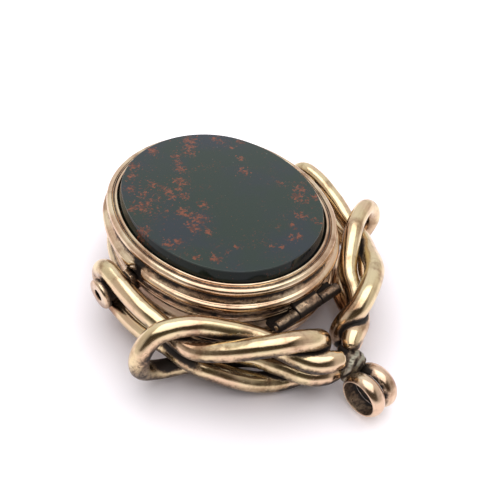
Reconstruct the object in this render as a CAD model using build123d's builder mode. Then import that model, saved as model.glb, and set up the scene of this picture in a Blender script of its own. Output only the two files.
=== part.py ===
"""Swivel fob for a pocket watch: an oval two sided locket in a stirrup of knotted wire, with a double bail.

Millimetres, +Z up, +X along the swivel pins, -Y towards the bail.
The origin lies on the table below the middle of the case, which rests flat on its lower stone.
"""
import os
from math import acos, atan, cos, degrees, radians, sin, sqrt

from build123d import *

os.makedirs("parts", exist_ok=True)

# Case: the oval of the stone's flat face, and the half thickness from the pin axis to that face
FACE_HALF_LENGTH = 10.0
FACE_HALF_WIDTH = 8.4
HALF_THICKNESS = 4.72

# Share of the oval's extra length by which its end arcs are tighter than its half width
END_TIGHTNESS_SHARE = 0.3125

# Stones: a tall bevel, an upright girdle and a flat back
BEVEL_SPREAD = 0.34
BEVEL_HEIGHT = 1.04
STONE_THICKNESS = 2.52
STONE_CLEARANCE = 0.03

# Case walls
WALL_INNER_OFFSET = 0.9
WALL_THICKNESS = 0.55
NECK_THICKNESS = 0.2
SEAM_HEIGHT = 0.41
SEAM_LIP_HEIGHT = 0.32
SEAM_LIP_REACH = 0.12
GIRDLE_BEAD_HEIGHT = 0.64
GIRDLE_BEAD_REACH = 0.53
COVE_DIP = 0.1
PLATE_THICKNESS = 0.4
FACE_RISE = 1.7
GIRDLE_BEAD_SHARE = 0.575

# Bezels: a collet that holds the stone, a thin lip against it, a groove and a wide outer bead
COLLET_CLEARANCE = 0.02
RIM_BEAD_RADIUS = 0.38
RIM_BEAD_OFFSET = 1.08
LIP_OFFSET = 0.56
LIP_DROP = 0.92
GROOVE_OFFSET = 0.76
GROOVE_DROP = 1.12
LIP_FOOT_GAP = 0.04

# Closing rim inside the seam, and its shares of the room between the seam and the plates
RIM_THICKNESS = 0.4
RIM_CLEARANCE = 0.08
RIM_DEPTH_SHARE = 0.59
RIM_RISE_SHARE = 0.47

# Swivel pins, their lugs and collars
PIN_RADIUS = 0.6
PIN_CLEARANCE = 0.04
PIN_SINK = 0.55
PIN_RECESS = 0.3
LUG_HALF_WIDTH = 0.66
LUG_RISE = 0.85
LUG_DROP = 1.2
LUG_REACH = 0.6
LUG_CORNER = 0.25
NOTCH_CLEARANCE = 0.09
COLLAR_RADIUS = 0.95
COLLAR_LENGTH = 0.49
COLLAR_GAP = 0.06

# Case hinge at the bail end
HINGE_WALL_GAP = 0.16
BARREL_RADIUS = 0.52
HINGE_PIN_RADIUS = 0.27
HINGE_CLEARANCE = 0.04
CENTRE_KNUCKLE_HALF = 1.33
KNUCKLE_GAP = 0.06
OUTER_KNUCKLE_END = 3.69
LEAF_THICKNESS = 0.5
LEAF_REACH_SHARE = 0.14
PIN_STUB = 0.08

# Stirrup: drawn wire, the droop of its bail end below the case, and the arms
WIRE_DIAMETER = 1.8
WIRE_END_GAP = 0.14
DROOP = 3.0
SHOULDER_OUT = 2.4
KNOT_LENGTH = 17.4

# Share of the wire's diameter between an arm's middle line and the end of the hinge
ARM_STANDOFF_SHARE = 1.12

# Bail loop, from its bight at the shoulder to its end at the bail
# Shares of the knot's length along the arm, and of the wire outwards and up
BAIL_LOOP_SHARES = (
    (0.048, 0.56, 0.0),
    (0.057, 0.44, 0.62),
    (0.112, 0.0, 1.35),
    (0.259, -0.52, 1.55),
    (0.437, -0.69, 1.2),
    (0.586, -0.62, 0.84),
    (0.713, -0.12, 0.62),
    (0.856, 0.36, 0.53),
    (1.0, 0.06, 0.53),
)

# Pivot loop, from its tip near the bail to its leg beside the case, in the same shares
PIVOT_LOOP_SHARES = (
    (0.897, -0.89, 0.0),
    (0.885, -0.75, 0.68),
    (0.839, -0.32, 1.3),
    (0.759, -0.02, 1.575),
    (0.609, 0.3, 1.48),
    (0.437, 0.3, 0.96),
    (0.282, -0.02, 0.54),
    (0.161, -0.92, 0.64),
    (0.044, -1.75, 0.88),
)

# Swivel bushes
BUSH_NECK_RADIUS = 0.95
BUSH_HEAD_RADIUS = 1.4
BUSH_HEAD_THICKNESS = 0.62
BUSH_CHAMFER = 0.15
BUSH_CLEARANCE = 0.02

# Bail: two rings side by side and the solder that joins them to the wire
RING_DROP = 1.5
RING_SEAT = 0.65
RING_BORE_RADIUS = 1.52
RING_THICKNESS = 0.5
RING_WIDTH = 1.2
RING_GAP = 0.36
RING_EDGE = 0.2
SOLDER_LENGTH = 1.6
SOLDER_MARGIN = 1.2
SOLDER_SHIFT = 0.3
SOLDER_DROP = 0.45
SOLDER_ROUND = 0.55
SOLDER_BITE = 0.3

OVERRUN = 1.0

# Worked sizes of the oval: its four arcs meet where their normals agree
STRETCH = FACE_HALF_LENGTH - FACE_HALF_WIDTH
END_RADIUS = FACE_HALF_WIDTH - STRETCH * END_TIGHTNESS_SHARE
END_CENTRE = STRETCH * (1 + END_TIGHTNESS_SHARE)
SIDE_CENTRE = STRETCH * (1 + 2 * END_TIGHTNESS_SHARE) / (2 * END_TIGHTNESS_SHARE)
SIDE_RADIUS = FACE_HALF_WIDTH + SIDE_CENTRE
JOIN_ANGLE = degrees(atan(END_CENTRE / SIDE_CENTRE))

# Worked sizes of the case
WALL_OUTER_OFFSET = WALL_INNER_OFFSET + WALL_THICKNESS
NECK_OFFSET = WALL_INNER_OFFSET + NECK_THICKNESS
WALL_TOP = HALF_THICKNESS - FACE_RISE
BEVEL_BASE = HALF_THICKNESS - BEVEL_HEIGHT
STONE_BACK = HALF_THICKNESS - STONE_THICKNESS
PLATE_BACK = STONE_BACK - PLATE_THICKNESS
LIP_HEIGHT = HALF_THICKNESS - LIP_DROP
GROOVE_HEIGHT = HALF_THICKNESS - GROOVE_DROP
LIP_FOOT = BEVEL_BASE - LIP_FOOT_GAP
GIRDLE_BEAD_CENTRE = SEAM_HEIGHT + (WALL_TOP - SEAM_HEIGHT) * GIRDLE_BEAD_SHARE
BEAD_LOW = GIRDLE_BEAD_CENTRE - GIRDLE_BEAD_HEIGHT / 2
BEAD_HIGH = GIRDLE_BEAD_CENTRE + GIRDLE_BEAD_HEIGHT / 2
RIM_DEPTH = (PLATE_BACK + SEAM_HEIGHT) * RIM_DEPTH_SHARE
RIM_RISE = (PLATE_BACK - SEAM_HEIGHT) * RIM_RISE_SHARE
LUG_END = FACE_HALF_WIDTH + WALL_OUTER_OFFSET + LUG_REACH
HINGE_REACH = FACE_HALF_LENGTH + WALL_OUTER_OFFSET + SEAM_LIP_REACH + HINGE_WALL_GAP + BARREL_RADIUS

# Worked sizes of the stirrup: each arm runs from its shoulder to the bail, clear of the hinge
PIVOT_PLANE_X = LUG_END + COLLAR_LENGTH + COLLAR_GAP + WIRE_DIAMETER / 2
SHOULDER_X = PIVOT_PLANE_X + SHOULDER_OUT
BAIL_END_X = (WIRE_DIAMETER + WIRE_END_GAP) / 2
ARM_ANGLE = degrees(acos((SHOULDER_X - BAIL_END_X) / KNOT_LENGTH))
ARM_COS = cos(radians(ARM_ANGLE))
ARM_SIN = sin(radians(ARM_ANGLE))
HINGE_CORNER = OUTER_KNUCKLE_END * ARM_SIN + (HINGE_REACH + BARREL_RADIUS) * ARM_COS
ARM_STANDOFF = WIRE_DIAMETER * ARM_STANDOFF_SHARE
SHOULDER_Y = (HINGE_CORNER + ARM_STANDOFF - SHOULDER_X * ARM_SIN) / ARM_COS
KNOT_END_Y = SHOULDER_Y + KNOT_LENGTH * ARM_SIN
RING_CENTRE_Y = KNOT_END_Y + RING_SEAT + RING_BORE_RADIUS + RING_THICKNESS
SOLDER_Y = KNOT_END_Y + SOLDER_SHIFT
SOLDER_WIDTH = WIRE_DIAMETER + SOLDER_MARGIN

# Planes of the case, of the drooping stirrup, of the case's section, of its hinge and of its pins
CASE_PLANE = Plane.XY.offset(HALF_THICKNESS)
DROOP_NORMAL = (0, -sin(radians(DROOP)), cos(radians(DROOP)))
STIRRUP_PLANE = Plane(origin=(0, 0, HALF_THICKNESS), x_dir=(1, 0, 0), z_dir=DROOP_NORMAL)
PROFILE_PLANE = Plane(origin=(0, -FACE_HALF_LENGTH, HALF_THICKNESS), x_dir=(0, -1, 0), z_dir=(-1, 0, 0))
HINGE_PLANE = Plane(origin=(0, -HINGE_REACH, HALF_THICKNESS + SEAM_HEIGHT), x_dir=(0, 1, 0), z_dir=(1, 0, 0))
PIN_PLANE = Plane(origin=(0, 0, HALF_THICKNESS), x_dir=(0, 1, 0), z_dir=(1, 0, 0))


def oval_line(offset):
    """Closed oval of four arcs at an offset from the stone's flat face, from the middle of its near end."""
    end = END_RADIUS + offset
    side = SIDE_RADIUS + offset
    with BuildLine(Plane.XY) as line:
        CenterArc((0, -END_CENTRE), end, -90, 90 - JOIN_ANGLE)
        CenterArc((-SIDE_CENTRE, 0), side, -JOIN_ANGLE, 2 * JOIN_ANGLE)
        CenterArc((0, END_CENTRE), end, JOIN_ANGLE, 180 - 2 * JOIN_ANGLE)
        CenterArc((SIDE_CENTRE, 0), side, 180 - JOIN_ANGLE, 2 * JOIN_ANGLE)
        CenterArc((0, -END_CENTRE), end, 180 + JOIN_ANGLE, 90 - JOIN_ANGLE)
    return line.line


def oval_face(offset):
    """Flat oval inside oval_line."""
    with BuildSketch(Plane.XY) as face:
        with BuildLine():
            add(oval_line(offset))
        make_face()
    return face.sketch


def swept_ring(draw_profile):
    """Ring with the profile that draw_profile draws in offsets and heights from the pin axis."""
    with BuildPart() as ring:
        with BuildLine() as path:
            add(CASE_PLANE * oval_line(0))
        with BuildSketch(PROFILE_PLANE):
            with BuildLine():
                draw_profile()
            make_face()
        sweep(path=path.wires()[0])
    return ring.part


def wall_profile(seam):
    """Wall of one half case, from its seam edge to the neck under the bezel."""
    lip = seam + SEAM_LIP_HEIGHT
    corner = (WALL_OUTER_OFFSET, seam)
    Line((WALL_INNER_OFFSET, seam), corner)
    ThreePointArc(corner, (WALL_OUTER_OFFSET + SEAM_LIP_REACH, (seam + lip) / 2), (WALL_OUTER_OFFSET, lip))
    Line((WALL_OUTER_OFFSET, lip), (WALL_OUTER_OFFSET, BEAD_LOW))
    bead = (WALL_OUTER_OFFSET + GIRDLE_BEAD_REACH, GIRDLE_BEAD_CENTRE)
    ThreePointArc((WALL_OUTER_OFFSET, BEAD_LOW), bead, (WALL_OUTER_OFFSET, BEAD_HIGH))
    cove = ((WALL_OUTER_OFFSET + NECK_OFFSET) / 2 - COVE_DIP, (BEAD_HIGH + WALL_TOP) / 2 - COVE_DIP)
    ThreePointArc((WALL_OUTER_OFFSET, BEAD_HIGH), cove, (NECK_OFFSET, WALL_TOP))
    Polyline((NECK_OFFSET, WALL_TOP), (WALL_INNER_OFFSET, WALL_TOP), (WALL_INNER_OFFSET, seam))


def bezel_profile():
    """Collet on the floor plate, bead over the wall's top, groove, and lip against the stone."""
    inner = BEVEL_SPREAD + STONE_CLEARANCE
    outer = WALL_INNER_OFFSET - COLLET_CLEARANCE
    bead_top = (RIM_BEAD_OFFSET, WALL_TOP + 2 * RIM_BEAD_RADIUS)
    bead_side = (RIM_BEAD_OFFSET + RIM_BEAD_RADIUS, WALL_TOP + RIM_BEAD_RADIUS)
    bead_foot = (RIM_BEAD_OFFSET, WALL_TOP)
    Polyline((inner, LIP_FOOT), (inner, STONE_BACK), (outer, STONE_BACK), (outer, WALL_TOP), bead_foot)
    ThreePointArc(bead_foot, bead_side, bead_top)
    Line(bead_top, (GROOVE_OFFSET, GROOVE_HEIGHT))
    ThreePointArc((GROOVE_OFFSET, GROOVE_HEIGHT), (LIP_OFFSET, LIP_HEIGHT), (inner, LIP_FOOT))


def closing_rim_profile():
    """Rim against the body's wall, rising past the seam with a running gap to the lid's wall."""
    free = WALL_INNER_OFFSET - RIM_CLEARANCE
    inner = free - RIM_THICKNESS
    low, high = SEAM_HEIGHT - RIM_DEPTH, SEAM_HEIGHT + RIM_RISE
    Polyline(
        (inner, low),
        (WALL_INNER_OFFSET, low),
        (WALL_INNER_OFFSET, SEAM_HEIGHT),
        (free, SEAM_HEIGHT),
        (free, high),
        (inner, high),
        (inner, low),
    )


def arm_point(shares, side):
    """Point of an arm from its shares: along the arm, outwards and up from the stirrup's plane."""
    along = shares[0] * KNOT_LENGTH
    out = shares[1] * WIRE_DIAMETER
    up = shares[2] * WIRE_DIAMETER
    x = SHOULDER_X - along * ARM_COS + out * ARM_SIN
    y = -SHOULDER_Y - along * ARM_SIN - out * ARM_COS
    return STIRRUP_PLANE.from_local_coords(Vector(side * x, y, up))


def stirrup_point(x, y, z):
    """Point given in the stirrup's own axes."""
    return STIRRUP_PLANE.from_local_coords(Vector(x, y, z))


def biarc_line(points, first, last):
    """Path of two tangent arcs between each two points, leaving along first and ending along last."""
    steps = [b - a for a, b in zip(points, points[1:])]
    directions = [first.normalized()]
    for before, after in zip(steps, steps[1:]):
        blend = before * (after.length / before.length) + after * (before.length / after.length)
        directions.append(blend.normalized())
    directions.append(last.normalized())
    for place, (start, end) in enumerate(zip(points, points[1:])):
        leave, arrive = directions[place], directions[place + 1]
        chord = end - start
        lean = chord.dot(leave + arrive)
        spread = 2 * (1 - leave.dot(arrive))
        reach = (sqrt(lean**2 + spread * chord.dot(chord)) - lean) / spread
        middle = (start + end + (leave - arrive) * reach) * 0.5
        across = (middle - start).normalized()
        turn = across * (2 * leave.dot(across)) - leave
        TangentArc(start, middle, tangent=leave)
        TangentArc(middle, end, tangent=turn)


def wire_half(side, shares, add_leg):
    """Upper half of a wire loop on one side, from its end in the stirrup's plane."""
    points = [arm_point(row, side) for row in shares]
    up = STIRRUP_PLANE.z_dir
    with BuildPart() as half:
        with BuildLine() as path:
            if add_leg:
                loop = BUSH_NECK_RADIUS + BUSH_CLEARANCE + WIRE_DIAMETER / 2
                points.append(stirrup_point(side * PIVOT_PLANE_X, 0, loop))
                biarc_line(points, up, STIRRUP_PLANE.y_dir)
                far = stirrup_point(side * PIVOT_PLANE_X, loop, 0)
                TangentArc(points[-1], far, tangent=STIRRUP_PLANE.y_dir)
            else:
                biarc_line(points, up, points[-1] - points[-2])
        wire = path.wires()[0]
        with BuildSketch(Plane(origin=wire @ 0, z_dir=wire % 0)):
            Circle(WIRE_DIAMETER / 2)
        sweep(path=wire)
    return half.part


# Stirrup: on each side a loop from the bail and a loop round the swivel, tied in a flat knot
with BuildPart() as left_bail_loop:
    add(wire_half(-1, BAIL_LOOP_SHARES, False))
    mirror(about=STIRRUP_PLANE)
with BuildPart() as left_pivot_loop:
    add(wire_half(-1, PIVOT_LOOP_SHARES, True))
    mirror(about=STIRRUP_PLANE)
with BuildPart() as right_bail_loop:
    add(mirror(left_bail_loop.part, about=Plane.YZ, mode=Mode.PRIVATE))
with BuildPart() as right_pivot_loop:
    add(mirror(left_pivot_loop.part, about=Plane.YZ, mode=Mode.PRIVATE))

# Bail: two rings side by side
RING_CENTRE = stirrup_point(0, -RING_CENTRE_Y, -RING_DROP)
RING_PLANE = Plane(origin=RING_CENTRE, x_dir=(1, 0, 0), z_dir=-STIRRUP_PLANE.y_dir)
RING_AXIS = Axis(RING_PLANE.origin, (1, 0, 0))
with BuildPart() as right_bail_ring:
    with BuildSketch(RING_PLANE):
        inner, outer = RING_GAP / 2, RING_GAP / 2 + RING_WIDTH
        shoulder, crown = RING_BORE_RADIUS + RING_EDGE, RING_BORE_RADIUS + RING_THICKNESS
        with BuildLine():
            ThreePointArc((outer, shoulder), ((inner + outer) / 2, crown), (inner, shoulder))
            Line((inner, shoulder), (inner, RING_BORE_RADIUS))
            Line((inner, RING_BORE_RADIUS), (outer, RING_BORE_RADIUS))
            Line((outer, RING_BORE_RADIUS), (outer, shoulder))
        make_face()
    revolve(axis=RING_AXIS, revolution_arc=360)
with BuildPart() as left_bail_ring:
    add(mirror(right_bail_ring.part, about=Plane.YZ, mode=Mode.PRIVATE))

# Solder that joins the four wire ends to the rings
SOLDER_START = stirrup_point(0, SOLDER_LENGTH / 2 - SOLDER_Y, -SOLDER_DROP)
with BuildPart() as bail_solder:
    with BuildSketch(Plane(origin=SOLDER_START, x_dir=(1, 0, 0), z_dir=-STIRRUP_PLANE.y_dir)):
        Circle(SOLDER_WIDTH / 2)
    extrude(amount=SOLDER_LENGTH)
    fillet(bail_solder.edges(), SOLDER_ROUND)
    with BuildSketch(Plane(origin=RING_PLANE.origin, x_dir=(0, 1, 0), z_dir=(1, 0, 0))):
        Circle(RING_BORE_RADIUS + RING_THICKNESS - SOLDER_BITE)
    extrude(amount=SOLDER_WIDTH, both=True, mode=Mode.SUBTRACT)
    for piece in (left_bail_loop, right_bail_loop, left_bail_ring, right_bail_ring):
        add(piece.part, mode=Mode.SUBTRACT)

# Swivel bushes, each a neck inside the wire's hairpin and a head over it
BUSH_INNER = PIVOT_PLANE_X - WIRE_DIAMETER / 2
BUSH_SEAT = PIVOT_PLANE_X + WIRE_DIAMETER / 2
BUSH_END = BUSH_SEAT + BUSH_HEAD_THICKNESS
with BuildPart() as right_pivot_bush:
    with BuildSketch(PIN_PLANE.offset(BUSH_INNER)):
        Circle(BUSH_NECK_RADIUS)
    extrude(amount=BUSH_SEAT - BUSH_INNER)
    with BuildSketch(PIN_PLANE.offset(BUSH_SEAT)):
        Circle(BUSH_HEAD_RADIUS)
    extrude(amount=BUSH_HEAD_THICKNESS)
    chamfer(right_pivot_bush.edges().group_by(Axis.X)[-1], BUSH_CHAMFER)
    with BuildSketch(PIN_PLANE.offset(BUSH_INNER)):
        Circle(PIN_RADIUS + PIN_CLEARANCE)
    extrude(amount=BUSH_END - BUSH_INNER, mode=Mode.SUBTRACT)
with BuildPart() as left_pivot_bush:
    add(mirror(right_pivot_bush.part, about=Plane.YZ, mode=Mode.PRIVATE))

# Upper half case, the lid
with BuildPart() as lid_wall:
    add(swept_ring(lambda: wall_profile(SEAM_HEIGHT)))
    for side in (-1, 1):
        gap = LUG_HALF_WIDTH + NOTCH_CLEARANCE
        with BuildSketch(PIN_PLANE):
            with Locations((0, SEAM_HEIGHT)):
                Rectangle(2 * gap, 2 * (LUG_RISE + NOTCH_CLEARANCE - SEAM_HEIGHT))
        extrude(amount=side * (FACE_HALF_WIDTH + WALL_OUTER_OFFSET + OVERRUN), mode=Mode.SUBTRACT)
        bead_cut = Plane(
            origin=(side * (FACE_HALF_WIDTH + WALL_OUTER_OFFSET), 0, HALF_THICKNESS + SEAM_HEIGHT),
            x_dir=(0, 1, 0),
            z_dir=(side, 0, 0),
        )
        with BuildSketch(bead_cut):
            with Locations((0, side * (BEAD_HIGH - SEAM_HEIGHT) / 2)):
                Rectangle(2 * gap, BEAD_HIGH - SEAM_HEIGHT + OVERRUN)
        extrude(amount=OVERRUN, mode=Mode.SUBTRACT)

with BuildPart() as lid_bezel:
    add(swept_ring(bezel_profile))

with BuildPart() as bloodstone:
    with BuildSketch(CASE_PLANE.offset(STONE_BACK)):
        add(oval_face(BEVEL_SPREAD))
    extrude(amount=BEVEL_BASE - STONE_BACK)
    with BuildSketch(CASE_PLANE.offset(BEVEL_BASE)):
        add(oval_face(BEVEL_SPREAD))
    with BuildSketch(CASE_PLANE.offset(HALF_THICKNESS)):
        add(oval_face(0))
    loft(ruled=True)

with BuildPart() as lid_plate:
    with BuildSketch(CASE_PLANE.offset(PLATE_BACK)):
        add(oval_face(WALL_INNER_OFFSET - COLLET_CLEARANCE))
    extrude(amount=PLATE_THICKNESS)

# Lower half case
with BuildPart() as body_bezel:
    add(mirror(lid_bezel.part, about=CASE_PLANE, mode=Mode.PRIVATE))
with BuildPart() as lower_stone:
    add(mirror(bloodstone.part, about=CASE_PLANE, mode=Mode.PRIVATE))
with BuildPart() as body_plate:
    add(mirror(lid_plate.part, about=CASE_PLANE, mode=Mode.PRIVATE))

with BuildPart() as body_wall:
    add(mirror(swept_ring(lambda: wall_profile(-SEAM_HEIGHT)), about=CASE_PLANE, mode=Mode.PRIVATE))
    for side in (-1, 1):
        lug_start = FACE_HALF_WIDTH + WALL_INNER_OFFSET + WALL_THICKNESS / 2
        with BuildSketch(PIN_PLANE.offset(side * lug_start)) as lug:
            with Locations((0, (LUG_RISE - LUG_DROP) / 2)):
                Rectangle(2 * LUG_HALF_WIDTH, LUG_RISE + LUG_DROP)
            fillet(lug.vertices().group_by(Axis.Y)[-1], LUG_CORNER)
        extrude(amount=side * (LUG_END - lug_start))
        with BuildSketch(PIN_PLANE.offset(side * LUG_END)):
            Circle(PIN_RADIUS)
        extrude(amount=-side * PIN_SINK, mode=Mode.SUBTRACT)

with BuildPart() as closing_rim:
    add(swept_ring(closing_rim_profile))

# Swivel pins and their collars
PIN_END = BUSH_END - PIN_RECESS
with BuildPart() as right_swivel_pin:
    with BuildSketch(PIN_PLANE.offset(LUG_END - PIN_SINK)):
        Circle(PIN_RADIUS)
    extrude(amount=PIN_END - LUG_END + PIN_SINK)
with BuildPart() as left_swivel_pin:
    add(mirror(right_swivel_pin.part, about=Plane.YZ, mode=Mode.PRIVATE))
with BuildPart() as right_pivot_collar:
    with BuildSketch(PIN_PLANE.offset(LUG_END)):
        Circle(COLLAR_RADIUS)
        Circle(PIN_RADIUS, mode=Mode.SUBTRACT)
    extrude(amount=BUSH_INNER - COLLAR_GAP - LUG_END)
with BuildPart() as left_pivot_collar:
    add(mirror(right_pivot_collar.part, about=Plane.YZ, mode=Mode.PRIVATE))


def knuckle(start, end, bore, rise):
    """Barrel on the hinge axis from start to end, with a leaf that meets a wall above or below the seam."""
    reach = HINGE_REACH - FACE_HALF_LENGTH - WALL_OUTER_OFFSET
    foot = rise * SEAM_LIP_HEIGHT
    inside = reach + (FACE_HALF_LENGTH + WALL_OUTER_OFFSET) * LEAF_REACH_SHARE
    with BuildPart() as hinge:
        with BuildSketch(HINGE_PLANE.offset(start)):
            Circle(BARREL_RADIUS)
            with BuildLine():
                Polyline(
                    (0, 0),
                    (0, rise * BARREL_RADIUS),
                    (inside, foot + rise * LEAF_THICKNESS),
                    (inside, foot),
                    (reach, foot),
                    (0, 0),
                )
            make_face()
        extrude(amount=end - start)
        with BuildSketch(CASE_PLANE.offset(-HALF_THICKNESS)):
            add(oval_face(WALL_OUTER_OFFSET))
        extrude(amount=2 * HALF_THICKNESS, mode=Mode.SUBTRACT)
        with BuildSketch(HINGE_PLANE.offset(start)):
            Circle(bore)
        extrude(amount=end - start, mode=Mode.SUBTRACT)
    return hinge.part


# Case hinge: two knuckles of the body, one of the lid and their pin
outer_knuckle = knuckle(CENTRE_KNUCKLE_HALF + KNUCKLE_GAP, OUTER_KNUCKLE_END, HINGE_PIN_RADIUS, -1)
centre_knuckle = knuckle(-CENTRE_KNUCKLE_HALF, CENTRE_KNUCKLE_HALF, HINGE_PIN_RADIUS + HINGE_CLEARANCE, 1)
with BuildPart() as hinge_knuckle_right:
    add(outer_knuckle)
    add(body_wall.part, mode=Mode.SUBTRACT)
with BuildPart() as hinge_knuckle_left:
    add(mirror(hinge_knuckle_right.part, about=Plane.YZ, mode=Mode.PRIVATE))
with BuildPart() as hinge_knuckle_centre:
    add(centre_knuckle)
    add(lid_wall.part, mode=Mode.SUBTRACT)
with BuildPart() as hinge_pin:
    with BuildSketch(HINGE_PLANE):
        Circle(HINGE_PIN_RADIUS)
    extrude(amount=OUTER_KNUCKLE_END + PIN_STUB, both=True)

NODES = {
    "left_bail_loop": left_bail_loop,
    "right_bail_loop": right_bail_loop,
    "left_pivot_loop": left_pivot_loop,
    "right_pivot_loop": right_pivot_loop,
    "left_bail_ring": left_bail_ring,
    "right_bail_ring": right_bail_ring,
    "bail_solder": bail_solder,
    "left_pivot_bush": left_pivot_bush,
    "right_pivot_bush": right_pivot_bush,
    "lid_wall": lid_wall,
    "lid_bezel": lid_bezel,
    "bloodstone": bloodstone,
    "lid_plate": lid_plate,
    "body_wall": body_wall,
    "body_bezel": body_bezel,
    "lower_stone": lower_stone,
    "body_plate": body_plate,
    "closing_rim": closing_rim,
    "left_swivel_pin": left_swivel_pin,
    "right_swivel_pin": right_swivel_pin,
    "left_pivot_collar": left_pivot_collar,
    "right_pivot_collar": right_pivot_collar,
    "hinge_knuckle_left": hinge_knuckle_left,
    "hinge_knuckle_right": hinge_knuckle_right,
    "hinge_knuckle_centre": hinge_knuckle_centre,
    "hinge_pin": hinge_pin,
}
for name, node in NODES.items():
    node.part.label = name
    export_step(node.part, f"parts/{name}.step")
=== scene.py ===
"""Finished look of a pocket watch fob: an oval locket, set with two stones, in a stirrup of knotted wire.

Shapes are worked out in millimetres in the fob's own frame: +X along the swivel pins, -Y towards the bail,
+Z up. A profile is an array of offsets and heights, and a surface is an array of rows of points.
"""
import bpy
import numpy as np
from mathutils import Matrix, Vector


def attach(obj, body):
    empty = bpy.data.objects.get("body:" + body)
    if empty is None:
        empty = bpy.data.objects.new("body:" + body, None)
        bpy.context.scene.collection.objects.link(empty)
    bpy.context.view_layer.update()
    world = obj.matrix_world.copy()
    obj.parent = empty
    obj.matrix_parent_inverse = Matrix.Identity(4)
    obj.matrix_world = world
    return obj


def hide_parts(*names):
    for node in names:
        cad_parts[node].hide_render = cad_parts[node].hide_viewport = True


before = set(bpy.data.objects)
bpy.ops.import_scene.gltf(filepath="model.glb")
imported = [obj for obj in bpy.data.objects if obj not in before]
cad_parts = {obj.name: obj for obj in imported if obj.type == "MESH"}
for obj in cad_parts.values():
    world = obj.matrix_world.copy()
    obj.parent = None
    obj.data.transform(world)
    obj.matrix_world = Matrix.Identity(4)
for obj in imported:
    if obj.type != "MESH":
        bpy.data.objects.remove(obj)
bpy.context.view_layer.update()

MM = 0.001
TURN = 2 * np.pi
SIDES = ((-1, "left"), (1, "right"))

# Oval of the stones' faces, from four arcs: half length, half width, and how much tighter the end arcs are
FACE_LENGTH, FACE_WIDTH, END_TIGHTNESS = 10.0, 8.4, 0.3125
STRETCH = FACE_LENGTH - FACE_WIDTH
END_RADIUS = FACE_WIDTH - STRETCH * END_TIGHTNESS
END_CENTRE = FACE_LENGTH - END_RADIUS
SIDE_CENTRE = STRETCH * (1 + 2 * END_TIGHTNESS) / (2 * END_TIGHTNESS)
SIDE_RADIUS = FACE_WIDTH + SIDE_CENTRE
JOIN = np.arctan2(END_CENTRE, SIDE_CENTRE)

# Half the thickness over both stones, which is the swivel axis's height over the table, and the seam over it
HALF = 4.72
SEAM = 0.41

# Stone: how far its girdle stands out beyond the face, the girdle's upper edge, and the back
GIRDLE_OFFSET, GIRDLE_TOP, STONE_BACK = 0.34, 3.68, 2.2

# Wall of each half: its inside and outside, the top of its neck, and the girdle bead's middle and radius
WALL_INSIDE, WALL_OUTSIDE, NECK_TOP = 0.92, 1.45, 3.00
BEAD_OFFSET, BEAD_HEIGHT, BEAD_RADIUS = 1.55, 1.91, 0.42

# Lug of a swivel pin: half width, middle over the axis, half height, root and end. The notch clears its top
LUG_WIDTH, LUG_MIDDLE, LUG_HEIGHT = 0.66, -0.175, 1.025
LUG_ROOT, LUG_END = 9.5, 10.45
NOTCH_TOP = 0.94

# From here on a place of the wall lies at the fob's side
AT_SIDE = 5.0

# Swivel: distances from the middle along its axis, and the radii of pin, bore, neck and head
PIN_ROOT, PIN_END, PIN_RADIUS = 9.95, 12.71, 0.6
COLLAR_START, COLLAR_END = 10.46, 10.94
BUSH_START, BUSH_SEAT, BUSH_END = 11.02, 12.8, 13.42
BORE_RADIUS, NECK_RADIUS, HEAD_RADIUS = 0.645, 0.95, 1.4

# Hinge: its pin's distance from the middle, the barrel, its leaf, and the ends of the knuckles and the pin
HINGE_REACH = 12.25
BARREL_RADIUS, LEAF_REACH = 0.52, 1.3
CENTRE_END, OUTER_START, OUTER_END = 1.33, 1.39, 3.69
HINGE_PIN_END, HINGE_PIN_RADIUS = 3.77, 0.27

# Stirrup: droop of its plane, slope of its arms, their outer corner, their length and the wire's thickness
DROOP = np.radians(3.0)
ARM = np.radians(40.0)
SHOULDER = (14.3, 6.5)
KNOT, WIRE = 17.4, 1.8

# Radius of a drawn strand at the shoulder and at the knot, and its turn round the bush
SHOULDER_RADIUS, KNOT_RADIUS = 0.845, 0.93
PIVOT_X, LOOP_RADIUS = 11.9, 1.87

# Bail: middle of its rings in the stirrup's plane, and a ring's width, bore and edge
BAIL_Y, BAIL_Z = -20.354, -1.5
RING_WIDTH, RING_BORE, RING_EDGE = 1.5, 1.535, 1.62

# Solder: where it holds the wires, its middle, and its half sizes
SOLDER_Y = -18.3
SOLDER_PLACE, SOLDER_SIZE = (-0.1, -18.05, -0.4), (1.25, 0.95, 1.35)

# How finely outlines are resampled, and steps round the case, a stone and a wire, and between two stations
SPACING = 0.02
OVAL_STEPS, STONE_STEPS, WIRE_STEPS, SPAN_STEPS = 420, 360, 64, 26


# Meshes

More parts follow.
